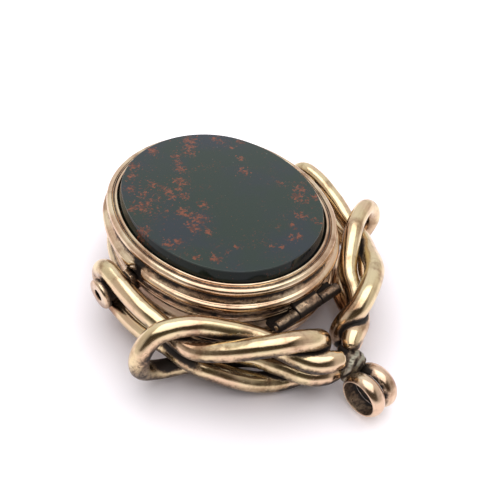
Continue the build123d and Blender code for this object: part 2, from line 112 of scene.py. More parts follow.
class Shape:
    """Surfaces gathered for one piece: points, faces, soot and painted shade, and the lie of the metal along
    each run.
    """

    def __init__(self):
        self.points, self.faces, self.soot, self.lie, self.count = [], [], [], [], 0

    def grid(self, rows, soot, lie=None, along=False, capped=False):
        """Quads between neighbouring rows, each row closed on itself.

        Along joins the last row to the first, and capped closes both ends with a fan.
        """
        length, width = rows.shape[:2]
        soot = np.broadcast_to(soot, (length, width))
        lie = rows if lie is None else lie
        i, j = np.meshgrid(np.arange(length if along else length - 1), np.arange(width), indexing="ij")
        near, far, beside = i * width, (i + 1) % length * width, (j + 1) % width
        quads = np.stack([near + j, near + beside, far + beside, far + j], -1).reshape(-1, 4)
        self.faces += (quads + self.count).tolist()
        self.points.append(rows.reshape(-1, 3))
        self.soot.append(soot.reshape(-1))
        self.lie.append(lie.reshape(-1, 3))
        start = self.count
        self.count += length * width
        if capped:
            self.fan(rows[0], soot[0], lie[0], start, -1)
            self.fan(rows[-1], soot[-1], lie[-1], start + (length - 1) * width, 1)
        return self

    def fan(self, row, soot, lie, first, turn):
        """Triangles from each edge of a row, whose first point has the number first, to the row's middle."""
        k = np.arange(len(row))
        hub = np.full(len(row), self.count)
        self.faces += np.stack([first + k, first + (k + 1) % len(row), hub], -1)[:, ::turn].tolist()
        self.points.append(row.mean(0)[None])
        self.soot.append(soot.mean()[None])
        self.lie.append(lie.mean(0)[None])
        self.count += 1

    def volume(self, corners):
        """Six times the volume inside the faces, summed over triangles: negative where they face inwards."""
        total = 0.0
        for size in (3, 4):
            faces = np.array([face for face in self.faces if len(face) == size], int).reshape(-1, size)
            for k in range(1, size - 1):
                across = np.cross(corners[faces[:, k]], corners[faces[:, k + 1]])
                total += np.einsum("ij,ij->", corners[faces[:, 0]], across)
        return total

    def piece(self, name, body, material, slot, node):
        """Makes the object, turns its faces outwards, and puts it on its body in place of the node."""
        corners = np.concatenate(self.points) * MM
        mesh = bpy.data.meshes.new(name)
        mesh.from_pydata(corners, [], self.faces)
        soot = np.concatenate(self.soot).astype(np.float32)
        # On metal the attribute holds soot and painted shade, and on a stone the places of its flecks
        mesh.attributes.new("soot", "FLOAT", "POINT").data.foreach_set("value", soot)
        lie = np.concatenate(self.lie).astype(np.float32) * MM
        mesh.attributes.new("lie", "FLOAT_VECTOR", "POINT").data.foreach_set("vector", lie.ravel())
        mesh.polygons.foreach_set("use_smooth", np.ones(len(mesh.polygons), bool))
        mesh.update()
        if self.volume(corners) < 0:
            mesh.flip_normals()
        thing = bpy.data.objects.new(name, mesh)
        bpy.context.scene.collection.objects.link(thing)
        thing.data.materials.append(material)
        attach(thing, body)
        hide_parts(node)
        return thing


def round_steps(count):
    """Angles of even steps once round."""
    return np.linspace(0, TURN, count, endpoint=False)


def oval(angle, offset):
    """Point of the four arc oval, offset outwards, where its outward normal stands at the angle from +X."""
    c, s = np.cos(angle), np.sin(angle)
    end = np.abs(s) * np.cos(JOIN) > np.abs(c) * np.sin(JOIN)
    radius = np.where(end, END_RADIUS, SIDE_RADIUS) + offset
    x = np.where(end, 0, -SIDE_CENTRE * np.sign(c)) + radius * c
    y = np.where(end, END_CENTRE * np.sign(s), 0) + radius * s
    return x, y


def arc(centre, radius, start, stop, steps):
    """Points on a circle from start to stop, in degrees."""
    a = np.radians(np.linspace(start, stop, steps))
    return np.stack([centre[0] + radius * np.cos(a), centre[1] + radius * np.sin(a)], -1)


def soften(outline, blur, count):
    """Closed outline with its edges worn round.

    It is resampled evenly, and each point becomes the mean of those about it, weighed by a bell curve.
    """
    closed = np.vstack([outline, outline[:1]])
    run = np.r_[0, np.cumsum(np.hypot(*np.diff(closed, axis=0).T))]
    even = np.arange(0, run[-1], SPACING)
    dense = np.stack([np.interp(even, run, closed[:, k]) for k in (0, 1)], -1)
    far = np.minimum(even, run[-1] - even)
    bell = np.fft.rfft(np.exp(-0.5 * (far / blur) ** 2))
    share = (bell / bell[0].real)[:, None]
    dense = np.fft.irfft(np.fft.rfft(dense, axis=0) * share, len(dense), axis=0)
    pick = np.linspace(0, len(dense), count, endpoint=False)
    index = np.arange(len(dense) + 1)
    dense = np.vstack([dense, dense[:1]])
    return np.stack([np.interp(pick, index, dense[:, k]) for k in (0, 1)], -1)


def smooth(edge0, edge1, value):
    """Eased step from 0 at edge0 to 1 at edge1."""
    t = np.clip((value - edge0) / (edge1 - edge0), 0, 1)
    return t * t * (3 - 2 * t)


def wander(points, size, seed):
    """Slow wander from -1 to 1: the mean of three sine waves in turned directions, each size long."""
    turns = np.random.default_rng(seed).normal(size=(3, 3))
    turns /= np.linalg.norm(turns, axis=1)[:, None]
    return np.sin(points @ turns.T * TURN / size + np.arange(3) * 2.1).mean(-1)


def soot_and_shade_spots(profile, *spots):
    """Soot and painted shade at each profile point: bell curves about spots of offset, height, reach and
    strength.
    """
    soot = 0
    for offset, height, reach, strength in spots:
        away = (profile[:, 0] - offset) ** 2 + (profile[:, 1] - height) ** 2
        soot = soot + strength * np.exp(-away / reach**2)
    return np.clip(soot, 0, 1)


def ring_rows(profile, up, reshape=None):
    """Profile carried round the oval, above the swivel axis where up is 1 and below it where up is -1.

    The lie of the metal is the way round the oval, the offset and the height.
    """
    angle = round_steps(OVAL_STEPS)[:, None]
    off = np.broadcast_to(profile[:, 0], (OVAL_STEPS, len(profile)))
    high = np.broadcast_to(profile[:, 1], (OVAL_STEPS, len(profile)))
    if reshape:
        off, high = reshape(*oval(angle, off), off, high)
    x, y = oval(angle, off)
    run = np.cumsum(np.hypot(*(np.roll(c, -1, 0) - c for c in oval(angle, 1.0))), axis=0)
    lie = np.stack([np.broadcast_to(run, x.shape), off, high], -1)
    return np.stack([x, y, HALF + up * high], -1), lie


def turned(profile, centre, steps=96):
    """Profile of distances along X and radii, turned about the line along X through the centre."""
    a = round_steps(steps)[None]
    along, radius = profile[:, :1] + 0 * a, profile[:, 1:] + 0 * a
    rows = np.array(centre) + np.stack([along, -radius * np.sin(a), radius * np.cos(a)], -1)
    return rows, np.stack([radius * a, radius, along], -1)


def stirrup(points):
    """Points of the stirrup's plane, turned by the droop of its bail end and lifted to the swivel axis."""
    x, y, z = points[..., 0], points[..., 1], points[..., 2]
    c, s = np.cos(DROOP), np.sin(DROOP)
    return np.stack([x, y * c - z * s, y * s + z * c + HALF], -1)


# Finishes

class Nodes:
    """Short way to lay out shader nodes. Each method gives back the node or the socket of its result."""

    def __init__(self, tree):
        self.tree = tree

    def add(self, kind, inputs=None, **settings):
        """A node with its settings, and its inputs set to values or joined to sockets."""
        node = self.tree.nodes.new(kind)
        for key, value in settings.items():
            setattr(node, key, value)
        for key, value in (inputs or {}).items():
            if isinstance(value, bpy.types.NodeSocket):
                self.tree.links.new(value, node.inputs[key])
            else:
                node.inputs[key].default_value = value
        return node

    def scaled(self, vector, scale):
        """Vector times scale, part by part."""
        return self.add("ShaderNodeVectorMath", {0: vector, 1: scale}, operation="MULTIPLY").outputs[0]

    def noise(self, vector, scale, detail=3.0, rough=0.55):
        """Cloudy pattern from 0 to 1, with about scale clouds to each unit of the vector."""
        inputs = {"Vector": vector, "Scale": scale, "Detail": detail, "Roughness": rough}
        return self.add("ShaderNodeTexNoise", inputs).outputs["Fac"]

    def ramp(self, value, low, high, start=0.0, stop=1.0, easing="SMOOTHSTEP"):
        """Step from start, where the value is low, to stop, where it is high."""
        inputs = {"Value": value, "From Min": low, "From Max": high, "To Min": start, "To Max": stop}
        return self.add("ShaderNodeMapRange", inputs, clamp=True, interpolation_type=easing).outputs[0]

    def maths(self, kind, a, b=0.5):
        """Sum, product or the like of a and b. One that needs a alone leaves b out."""
        return self.add("ShaderNodeMath", {0: a, 1: b}, operation=kind).outputs[0]

    def mix(self, share, a, b):
        """Colour a where the share is 0, b where it is 1, and between them in proportion."""
        return self.add("ShaderNodeMix", {0: share, 6: a, 7: b}, data_type="RGBA").outputs[2]

    def attribute(self, name, output):
        """What the mesh holds under the name."""
        return self.add("ShaderNodeAttribute", attribute_name=name).outputs[output]

    def bump(self, height, strength, distance, normal=None):
        """Normal tilted by the slope of the height, whose full range stands for the distance in metres."""
        inputs = {"Height": height, "Strength": strength, "Distance": distance}
        if normal:
            inputs["Normal"] = normal
        return self.add("ShaderNodeBump", inputs).outputs[0]


class Finish(Nodes):
    """A material under way: its nodes, its shader and the object's own coordinates."""

    def __init__(self, name):
        self.material = bpy.data.materials.new(name)
        self.material.use_nodes = True
        super().__init__(self.material.node_tree)
        self.shader = self.tree.nodes["Principled BSDF"]
        self.object = self.add("ShaderNodeTexCoord").outputs["Object"]

    def set(self, **inputs):
        """Sets or joins the shader's inputs, named with underscores for spaces. Gives back the material."""
        for key, value in inputs.items():
            socket = self.shader.inputs[key.replace("_", " ")]
            if isinstance(value, bpy.types.NodeSocket):
                self.tree.links.new(value, socket)
            else:
                socket.default_value = value
        return self.material


# Brown of film and black of dirt, which also paint shade where the mesh marks it
FILM_AND_SHADE_BROWN = (0.20, 0.085, 0.038, 1)
DIRT_AND_SHADE_BLACK = (0.020, 0.013, 0.010, 1)
DUST_GREY = (0.35, 0.34, 0.30, 1)


def tint(colour, red, green, blue):
    """Colour with each of its parts multiplied."""
    return (colour[0] * red, colour[1] * green, colour[2] * blue, 1)


def gold(name, pale, rose, gloss, age, carried=False):
    """Worn gold: two alloys in slow patches, streaks along the run, brown film, scratches, and black dirt.

    Film and dirt lie thickest where the mesh marks soot and painted shade, so the brown and the black also
    paint shade there. A node that is carried over from the solids has no such marks and no lie, so its
    streaks run along X.
    """
    n = Finish(name)
    lie = n.object if carried else n.attribute("lie", "Vector")
    soot = 0.0 if carried else n.attribute("soot", "Fac")
    colour = n.mix(n.ramp(n.noise(n.object, 230.0, 2.0), 0.38, 0.62), pale, rose)
    streaks = n.noise(n.scaled(lie, (120.0, 2400.0, 2400.0)), 1.0, 3.0, 0.6)
    colour = n.mix(n.ramp(streaks, 0.45, 0.8, 0.0, 0.45), colour, tint(rose, 0.55, 0.42, 0.38))
    broken = n.noise(n.object, 1500.0, 5.0, 0.65)
    stains = n.ramp(n.noise(n.object, 430.0, 4.0, 0.62), 0.46, 0.72, 0.0, age)
    specks = n.noise(n.object, 5200.0, 4.0, 0.7)
    film_and_shade = n.ramp(n.maths("ADD", n.maths("MULTIPLY", broken, 0.5), soot), 0.34, 0.95, 0.0, 0.85)
    colour = n.mix(n.maths("MAXIMUM", stains, film_and_shade), colour, FILM_AND_SHADE_BROWN)
    crumbs = n.maths("ADD", n.maths("MULTIPLY", broken, 0.9), n.maths("MULTIPLY", specks, 0.7))
    dirt_and_shade = n.ramp(n.maths("ADD", crumbs, n.maths("MULTIPLY", soot, 1.25)), 1.06, 1.62)
    colour = n.mix(dirt_and_shade, colour, DIRT_AND_SHADE_BLACK)
    rough = n.maths("ADD", n.maths("MULTIPLY", specks, 0.16), gloss - 0.06)
    rough = n.maths("ADD", rough, n.maths("MULTIPLY", dirt_and_shade, 0.4))
    dented = n.bump(n.noise(n.object, 420.0, 2.0), 0.15, 0.00035)
    scratches = n.noise(n.scaled(lie, (500.0, 5200.0, 5200.0)), 1.0, 4.0, 0.65)
    scratched = n.bump(scratches, 0.2, 0.00003, dented)
    crust = n.maths("MULTIPLY", n.noise(n.object, 3800.0, 4.0, 0.7), dirt_and_shade)
    crusted = n.bump(crust, 0.5, 0.00012, scratched)
    metallic = n.ramp(dirt_and_shade, 0.0, 1.0, 1.0, 0.3)
    return n.set(Base_Color=colour, Metallic=metallic, Roughness=rough, Normal=crusted)


def polished_stone(name, body, cast, fleck, shine=0.5):
    """Polished stone: cloudy ground, faint veil, dust, and flecks that break up where soot gathers them."""
    n = Finish(name)
    colour = n.mix(n.ramp(n.noise(n.object, 150.0, 5.0, 0.6), 0.38, 0.66), body, cast)
    coarse, fine = n.noise(n.object, 3300.0, 2.0, 0.6), n.noise(n.object, 8000.0, 3.0, 0.6)
    broken = n.maths("ADD", n.maths("MULTIPLY", coarse, 2.3), n.maths("MULTIPLY", fine, 0.9))
    gathered = n.maths("MULTIPLY", n.attribute("soot", "Fac"), 0.74)
    amount = n.maths("ADD", n.maths("SUBTRACT", broken, 1.6), gathered)
    shade = n.mix(n.ramp(n.noise(n.object, 2100.0, 2.0), 0.40, 0.60), fleck, tint(fleck, 0.35, 0.35, 0.35))
    threads = n.ramp(n.noise(n.object, 4200.0, 3.0, 0.6), 0.55, 0.68, 0.0, 0.5)
    veil = n.maths("MULTIPLY", n.ramp(n.noise(n.object, 420.0, 2.0), 0.50, 0.60), threads)
    colour = n.mix(n.maths("MAXIMUM", n.ramp(amount, 0.42, 0.76, 0.0, 0.80), veil), colour, shade)
    dust = n.ramp(n.noise(n.object, 2700.0, 1.0, 0.5), 0.80, 0.83, 0.0, 0.5)
    colour = n.mix(dust, colour, DUST_GREY)
    scuffs = n.bump(n.noise(n.scaled(n.object, (900.0, 6000.0, 900.0)), 1.0, 3.0), 0.03, 0.00001)
    rough = n.ramp(n.noise(n.object, 700.0, 3.0), 0.3, 0.8, 0.04, 0.12)
    return n.set(Base_Color=colour, Roughness=rough, Normal=scuffs, IOR=1.52, Specular_IOR_Level=shine)


WIRE_GOLD = gold("wire_gold", (0.74, 0.60, 0.37, 1), (0.69, 0.49, 0.33, 1), 0.15, 0.8)
CASE_GOLD = gold("case_gold", (0.79, 0.64, 0.45, 1), (0.68, 0.48, 0.33, 1), 0.17, 0.6)
BAIL_GOLD = gold("bail_gold", (0.78, 0.62, 0.44, 1), (0.70, 0.50, 0.36, 1), 0.18, 0.8)
INNER_GOLD = gold("inner_gold", (0.66, 0.42, 0.22, 1), (0.56, 0.32, 0.18, 1), 0.24, 0.7, carried=True)
SOLDER = gold("old_solder", (0.37, 0.35, 0.28, 1), (0.25, 0.23, 0.18, 1), 0.45, 0.5)
BLOODSTONE = polished_stone(
    "bloodstone", (0.011, 0.026, 0.016, 1), (0.013, 0.021, 0.032, 1), (0.27, 0.066, 0.022, 1))
# The bevels' finishes are darker, less shiny copies of the stones' own: painted shade on the bevels
BLOODSTONE_SHADED_BEVEL = polished_stone(
    "bloodstone_shaded_bevel", (0.008, 0.014, 0.010, 1), (0.008, 0.012, 0.016, 1), (0.20, 0.050, 0.022, 1), 0.16)
CARNELIAN = polished_stone(
    "carnelian", (0.24, 0.045, 0.012, 1), (0.17, 0.030, 0.009, 1), (0.42, 0.10, 0.03, 1))
CARNELIAN_SHADED_BEVEL = polished_stone(
    "carnelian_shaded_bevel", (0.20, 0.036, 0.010, 1), (0.14, 0.024, 0.008, 1), (0.36, 0.09, 0.03, 1), 0.3)


# Stones

# Flecks of the bloodstone: place on the face and reach
FLECKS = (
    (2.6, 8.5, 0.6), (1.5, 7.0, 0.5), (2.1, 7.8, 0.5), (-1.4, 9.1, 0.5), (5.0, 7.0, 0.45), (6.8, 5.4, 0.4),
    (0.0, 7.1, 0.4), (-0.8, 5.2, 0.5), (-0.4, 6.2, 0.35), (-4.1, 8.1, 0.5), (-5.2, 7.0, 0.4),
    (-1.9, 3.6, 0.6), (-4.3, 4.9, 0.4), (-3.8, 3.9, 0.4), (-3.6, 3.1, 0.45), (-6.2, 5.4, 0.4),
    (-3.8, 2.4, 0.4), (-2.9, 1.8, 0.4), (-7.5, 3.2, 0.4), (-6.7, 2.8, 0.65), (-6.0, 3.0, 0.35),
    (-2.1, 0.0, 0.45), (-4.3, 0.1, 0.45), (-3.6, -1.4, 0.55), (-3.9, -0.7, 0.35), (-4.6, -2.0, 0.5),
    (-3.9, -3.2, 0.3), (5.0, 3.2, 0.3), (3.9, 1.5, 0.45), (5.6, -2.1, 0.35), (6.5, -3.7, 0.5),
    (5.5, -4.5, 0.5), (5.6, -5.3, 0.35), (6.8, -5.4, 0.35), (4.0, -6.4, 0.4), (4.6, -7.8, 0.3),
    (2.5, -7.1, 0.25), (1.3, -8.1, 0.3), (2.0, -8.3, 0.3), (-0.7, -7.9, 0.2), (-0.1, -8.4, 0.2),
    (-3.2, -6.1, 0.2), (-4.2, -6.1, 0.2), (-5.4, -6.1, 0.4), (-6.6, -5.2, 0.3), (-7.5, -2.4, 0.4),
    (-6.7, -2.7, 0.35), (-8.4, 0.2, 0.5), (5.4, 5.1, 0.2), (-5.6, 4.2, 0.25), (-2.6, 2.9, 0.3),
)
# Spread of a fleck for its reach, and the share at which distance along Y counts
FLECK_SPREAD, FLECK_SQUASH = 1.5, 0.8

# Haze of fine flecks over one side of the face: its middle, its reach and its strength
HAZE_X, HAZE_Y, HAZE_REACH_X, HAZE_REACH_Y, HAZE_STRENGTH = -5.6, 3.4, 2.6, 4.6, 0.42


def stone_edge():
    """Worn outline of the stone's edge: over the rim, down the bevel and the girdle, and in under it."""
    inset, kept = -1.0, -0.8
    outline = np.vstack([
        np.stack([np.linspace(inset, 0, 8), np.full(8, HALF)], -1)[:-1],
        np.stack([np.linspace(0, GIRDLE_OFFSET, 10), np.linspace(HALF, GIRDLE_TOP, 10)], -1)[:-1],
        np.stack([np.full(8, GIRDLE_OFFSET), np.linspace(GIRDLE_TOP, STONE_BACK, 8)], -1)[:-1],
        np.stack([np.linspace(GIRDLE_OFFSET, inset, 8), np.full(8, STONE_BACK)], -1),
    ])
    worn = soften(outline, 0.03, 220)
    first = np.argmin(np.hypot(worn[:, 0] - kept, worn[:, 1] - HALF))
    worn = np.roll(worn, -first, 0)
    last = np.argmin(np.hypot(worn[:, 0] - kept, worn[:, 1] - STONE_BACK))
    return worn[: last + 1]


def gather(rows, flecks):
    """Where flecks lie on the stone: the highest of a bell curve about each and of one for the haze."""
    haze = ((rows[..., 0] - HAZE_X) / HAZE_REACH_X) ** 2 + ((rows[..., 1] - HAZE_Y) / HAZE_REACH_Y) ** 2
    gathered = HAZE_STRENGTH * np.exp(-haze)
    for x, y, reach in flecks:
        away = (rows[..., 0] - x) ** 2 + ((rows[..., 1] - y) * FLECK_SQUASH) ** 2
        gathered = np.maximum(gathered, np.exp(-away / (FLECK_SPREAD * reach) ** 2))
    return gathered


def stone(name, node, body, face, bevel, slot, up, flecks=()):
    """Flat topped stone: rows spread from the middle of its face, go round its edge, and close in below."""
    edge, face_rows, back_skip = stone_edge(), 90, 11
    x, y = oval(round_steps(STONE_STEPS)[:, None], edge[:, 0])
    z = HALF + up * np.broadcast_to(edge[:, 1], x.shape)
    side = np.stack([x, y, z], -1).transpose(1, 0, 2)
    share = np.linspace(0.01, 1, face_rows)[:-1, None, None]
    flat = np.array([1, 1, 0])
    top = side[0][None] * flat * share + np.array([0, 0, HALF + up * HALF])
    back = side[-1][None] * flat * share[::-back_skip] + np.array([0, 0, HALF + up * STONE_BACK])
    rows = np.concatenate([top, side, back])
    gathered = gather(rows, flecks) if flecks else 0.0
    thing = Shape().grid(rows, gathered, capped=True).piece(name, body, face, slot, node)

    # The bevel's finish, a darker and less shiny copy that paints shade onto the bevel, starts just under the
    # face's rim. The quads come first, then the face's fan, and then the back's
    rim_drop = 0.06
    rim = (len(top) + np.argmax(edge[:, 1] < HALF - rim_drop)) * STONE_STEPS
    number, quads = np.arange(len(thing.data.polygons)), (len(rows) - 1) * STONE_STEPS
    below = (number >= rim) & ((number < quads) | (number >= quads + STONE_STEPS))
    thing.data.materials.append(bevel)
    thing.data.polygons.foreach_set("material_index", below.astype(np.int32))


stone("bloodstone_cut", "bloodstone", "lid", BLOODSTONE, BLOODSTONE_SHADED_BEVEL, "bloodstone", 1, FLECKS)
stone("under_stone_cut", "lower_stone", "case", CARNELIAN, CARNELIAN_SHADED_BEVEL, "carnelian", -1)


# Case

def bezel_outline():
    """Collet beside the stone, thin lip, groove, and a wide bead that overhangs the wall."""
    inside, outside, foot, shoulder = 0.36, 0.88, 2.22, 3.02
    return soften(np.vstack([
        [(inside, foot), (outside, foot), (outside, shoulder), (1.06, shoulder)],
        arc((1.08, 3.40), 0.38, -90, 108, 30),
        [(0.86, 3.66), (0.78, 3.60), (0.70, 3.64)],
        arc((0.54, 3.66), 0.16, 20, 180, 12),
    ]), 0.025, 130)


def wall_outline(seam):
    """Upright wall with a lip at the seam, a girdle bead, and a cove up to the neck under the bezel."""
    return soften(np.vstack([
        [(WALL_INSIDE, seam)],
        arc((WALL_OUTSIDE, seam + 0.16), 0.15, -88, 88, 14),
        [(WALL_OUTSIDE, seam + 0.36), (1.47, 1.40)],
        arc((BEAD_OFFSET, BEAD_HEIGHT), BEAD_RADIUS, -62, 70, 24),
        [(1.52, 2.34), (1.36, 2.52), (1.20, 2.76), (1.12, NECK_TOP), (WALL_INSIDE, NECK_TOP)],
    ]), 0.03, 130)


def lid_notches(x, y, off, high):
    """Gaps at the swivel lugs: the wall stands clear over each lug, and the bead is filed flat beside it."""
    bead_top, flat = 2.4, 1.40
    at_side = np.abs(x) > AT_SIDE
    filed = smooth(-2.20, -1.25, y) * (1 - smooth(-0.90, -0.10, y)) * at_side
    off = np.where((high < bead_top) & (off > flat), off + filed * (flat - off), off)
    over = (1 - smooth(LUG_WIDTH + 0.08, LUG_WIDTH + 0.20, np.abs(y))) * at_side
    return off, np.maximum(high, SEAM + (NOTCH_TOP - SEAM) * over)


def case_wall(up, seam, notches=None):
    """Wall of one half, with painted shade in the cove and under the bead, soot at the seam, and soot and
    painted shade on the inside.

    Where it is notched, a dark band crosses it on the bail's side of each notch.
    """
    profile = wall_outline(seam)
    rows, lie = ring_rows(profile, up, notches)
    cove, lip = (1.26, 2.70, 0.40, 0.45), (1.5, seam + 0.42, 0.26, 0.55)
    under_bead, inside = (1.5, 1.36, 0.24, 0.46), (1.0, NECK_TOP, 0.26, 1.0)
    soot_and_shade = soot_and_shade_spots(profile, cove, lip, under_bead, inside)
    soot_and_shade = soot_and_shade * (1 + 0.22 * wander(rows, 3.1, 5) + 0.12 * wander(rows, 0.9, 6))
    if notches:
        soot_and_shade = soot_and_shade + np.exp(-((rows[..., 1] + 1.05) / 0.42) ** 2) * (np.abs(rows[..., 0]) > AT_SIDE)
    return Shape().grid(rows, np.clip(soot_and_shade, 0, 1.1), lie, along=True)


def lug(shape, side):
    """Lug of a swivel pin: a block with rounded corners and a worn end, from inside the wall outwards.

    Its section is a circle whose cosine and sine are raised to a low power: the lower, the squarer.
    """
    a, square_y, square_z = round_steps(72), 0.35, 0.3
    c, s = np.cos(a), np.sin(a)
    y = LUG_WIDTH * np.sign(c) * np.abs(c) ** square_y
    z = LUG_HEIGHT * np.sign(s) * np.abs(s) ** square_z
    x = side * np.array([LUG_ROOT, LUG_END - 0.15, LUG_END - 0.04, LUG_END])[:, None]
    drawn_in = np.array([1.0, 1.0, 0.985, 0.94])[:, None]
    rows = np.stack([x + 0 * y, drawn_in * y, HALF + LUG_MIDDLE + drawn_in * z], -1)
    # Darkest at the root, inside the wall, and lighter towards the end: soot and painted shade
    shape.grid(rows, np.array([0.9, 0.3, 0.15, 0.15])[:, None], capped=True)


def bezel(node, body, up):
    """Bezel carried round the oval, with soot and painted shade in its groove, beside the stone and where the
    wall begins.
    """
    profile = bezel_outline()
    rows, lie = ring_rows(profile, up)
    groove, beside_stone = (0.78, 3.58, 0.10, 0.75), (0.36, 3.5, 0.14, 0.5)
    over_wall, inside = (1.2, 3.02, 0.2, 0.9), (0.9, 2.6, 0.5, 1.0)
    soot_and_shade = soot_and_shade_spots(profile, groove, beside_stone, over_wall, inside) * (1 + 0.25 * wander(rows, 2.3, 9))
    Shape().grid(rows, soot_and_shade, lie, along=True).piece(node + "_swept", body, CASE_GOLD, "gold", node)


case_wall(1, SEAM, lid_notches).piece("lid_wall_swept", "lid", CASE_GOLD, "gold", "lid_wall")
body_wall = case_wall(-1, -SEAM)
for side in (-1, 1):
    lug(body_wall, side)
body_wall.piece("body_wall_swept", "case", CASE_GOLD, "gold", "body_wall")
bezel("lid_bezel", "lid", 1)
bezel("body_bezel", "case", -1)


# Stirrup wires

# Stations of the two loops of an arm: shares of its length along it, and of the wire outwards and up
BAIL_LOOP_SHARES = (
    (0.048, 0.56, 0.0), (0.057, 0.44, 0.62), (0.112, 0.0, 1.35), (0.259, -0.52, 1.55), (0.437, -0.69, 1.2),
    (0.586, -0.62, 0.84), (0.713, -0.12, 0.62), (0.856, 0.36, 0.53), (1.0, 0.06, 0.53),
)
PIVOT_LOOP_SHARES = (
    (0.897, -0.89, 0.0), (0.885, -0.75, 0.68), (0.839, -0.32, 1.3), (0.759, -0.02, 1.575),
    (0.609, 0.3, 1.48), (0.437, 0.3, 0.96), (0.282, -0.02, 0.54), (0.161, -0.92, 0.64), (0.044, -1.75, 0.88),
)
# The right arm's bail loop has one more, because it reaches further over the solder
RIGHT_END_SHARES = ((1.035, 0.10, 0.42),)

# How far the right arm is pressed in, and for each of its loops how far near the bail, coming on from Y to Y
PRESSED_IN = 0.5
BAIL_BEND, PIVOT_BEND = (0.95, -13.5, -17.0), (0.08, -11.0, -13.8)

MIRROR = np.array([1, 1, -1])

# Soot and painted shade on the wires: reach of the soot and painted shade in corners, painted shade on lower
# sides and what the left arm has more of it, and painted shade on top of the lower strands and what the
# shoulders have more of it
CREVICE_REACH = 0.42
UNDERSIDE_SHADE, LEFT_UNDERSIDE_SHADE, LOWER_STRAND_SHADE, SHOULDER_SHADE = 0.22, 0.26, 0.16, 0.62


def arm_points(shares, side):
    """Stations of an arm in the stirrup's plane: along it from the shoulder, outwards across it, and up."""
    along, out, up = np.array(shares).T * np.array([[KNOT], [WIRE], [WIRE]])
    x = SHOULDER[0] - along * np.cos(ARM) + out * np.sin(ARM)
    y = -SHOULDER[1] - along * np.sin(ARM) - out * np.cos(ARM)
    return np.stack([side * x, y, up], -1)


def through(points, first, last):
    """Cubic curve through the stations, from the first slope to the last.

    Its slope at each station between is the two chords there, each weighed by the other's length. The pull
    along a slope is the chord's length over the squared cosine of a quarter of the turn.
    """
    step = np.diff(points, axis=0)
    size = np.linalg.norm(step, axis=1)[:, None]
    middle = step[:-1] / size[:-1] * size[1:] + step[1:] / size[1:] * size[:-1]
    slope = np.vstack([[first], middle, [last]])
    slope /= np.linalg.norm(slope, axis=1)[:, None]
    turn = np.arccos(np.clip((slope[:-1] * slope[1:]).sum(1), -1, 1))[:, None]
    pull = size / np.cos(turn / 4) ** 2
    u = np.linspace(0, 1, SPAN_STEPS, endpoint=False)[None, :, None]
    a, b = points[:-1, None], points[1:, None]
    slope_a, slope_b = (slope[:-1] * pull)[:, None], (slope[1:] * pull)[:, None]
    curve = (2 * u**3 - 3 * u**2 + 1) * a + (u**3 - 2 * u**2 + u) * slope_a
    curve = curve + (3 * u**2 - 2 * u**3) * b + (u**3 - u**2) * slope_b
    return np.vstack([curve.reshape(-1, 3), points[-1:]])


def bent_in(path, at_end, start, stop):
    """Right arm's strand as it is bent today: inwards past the shoulder, and by at_end near the bail."""
    share = PRESSED_IN * smooth(-0.5, -4.5, path[:, 1])
    share = share + (at_end - PRESSED_IN) * smooth(start, stop, path[:, 1])
    return path + share[:, None] * np.array([-np.sin(ARM), np.cos(ARM), 0])


def wire_paths(side):
    """Middle lines of an arm's upper strands: of the bail loop, and of the pivot loop round to the bush."""
    bail = arm_points(BAIL_LOOP_SHARES if side < 0 else BAIL_LOOP_SHARES + RIGHT_END_SHARES, side)
    bail = through(bail, (0, 0, 1), bail[-1] - bail[-2])
    pivot = np.vstack([arm_points(PIVOT_LOOP_SHARES, side), [(side * PIVOT_X, 0, LOOP_RADIUS)]])
    pivot = through(pivot, (0, 0, 1), (0, 1, 0))
    a = np.linspace(0, TURN / 4, 30)[1:]
    hairpin = np.stack([side * PIVOT_X + 0 * a, LOOP_RADIUS * np.sin(a), LOOP_RADIUS * np.cos(a)], -1)
    pivot = np.vstack([pivot, hairpin])
    if side > 0:
        bail, pivot = bent_in(bail, *BAIL_BEND), bent_in(pivot, *PIVOT_BEND)
    return bail, pivot


def wire_rows(path, side, drawn_in):
    """Round section carried along the path: thicker towards the knot, drawn in to a blunt end if asked."""
    blunt, taper, end_share = 0.4, 1.5, 0.74
    outward = np.array([side * np.sin(ARM), -np.cos(ARM), 0])
    tangent = np.gradient(path, axis=0)
    tangent /= np.linalg.norm(tangent, axis=1)[:, None]
    first = outward - (tangent @ outward)[:, None] * tangent
    first /= np.linalg.norm(first, axis=1)[:, None]
    second = np.cross(tangent, first)
    radius = SHOULDER_RADIUS + (KNOT_RADIUS - SHOULDER_RADIUS) * smooth(-8.0, -18.0, path[:, 1])
    run = np.r_[0, np.cumsum(np.linalg.norm(np.diff(path, axis=0), axis=1))]
    if drawn_in:
        left = run[-1] - run
        rounded = 1 - (np.clip(blunt - left, 0, None) / (blunt + 0.01)) ** 2
        radius = radius * (end_share + (1 - end_share) * smooth(0.0, taper, left))
        radius = radius * np.sqrt(np.clip(rounded, 0.02, 1))
    a = round_steps(WIRE_STEPS)[None]
    across, up = radius[:, None] * np.cos(a), radius[:, None] * np.sin(a)
    rows = path[:, None] + across[..., None] * first[:, None] + up[..., None] * second[:, None]
    return rows, np.stack([run[:, None] + 0 * a, across, up], -1)


def both_halves(rows, lie):
    """The strand above the stirrup's plane and its mirror image below, as one run of rows."""
    return np.concatenate([rows[:0:-1] * MIRROR, rows]), np.concatenate([lie[:0:-1] * [-1, 1, -1], lie])


def crevice(rows, *others):
    """Soot and painted shade on a strand: a bell curve of the gap to other metal, given as middle points and
    their radius.
    """
    flat, batch, far_off = rows.reshape(-1, 3), 4000, 9.0
    gap = np.full(len(flat), far_off)
    for centre, radius in others:
        for start in range(0, len(flat), batch):
            part = slice(start, start + batch)
            away = np.sqrt(((flat[part, None] - centre[None]) ** 2).sum(-1)).min(1)
            gap[part] = np.minimum(gap[part], away - radius)
    return np.exp(-(np.clip(gap, 0, None) / CREVICE_REACH) ** 2).reshape(rows.shape[:2])


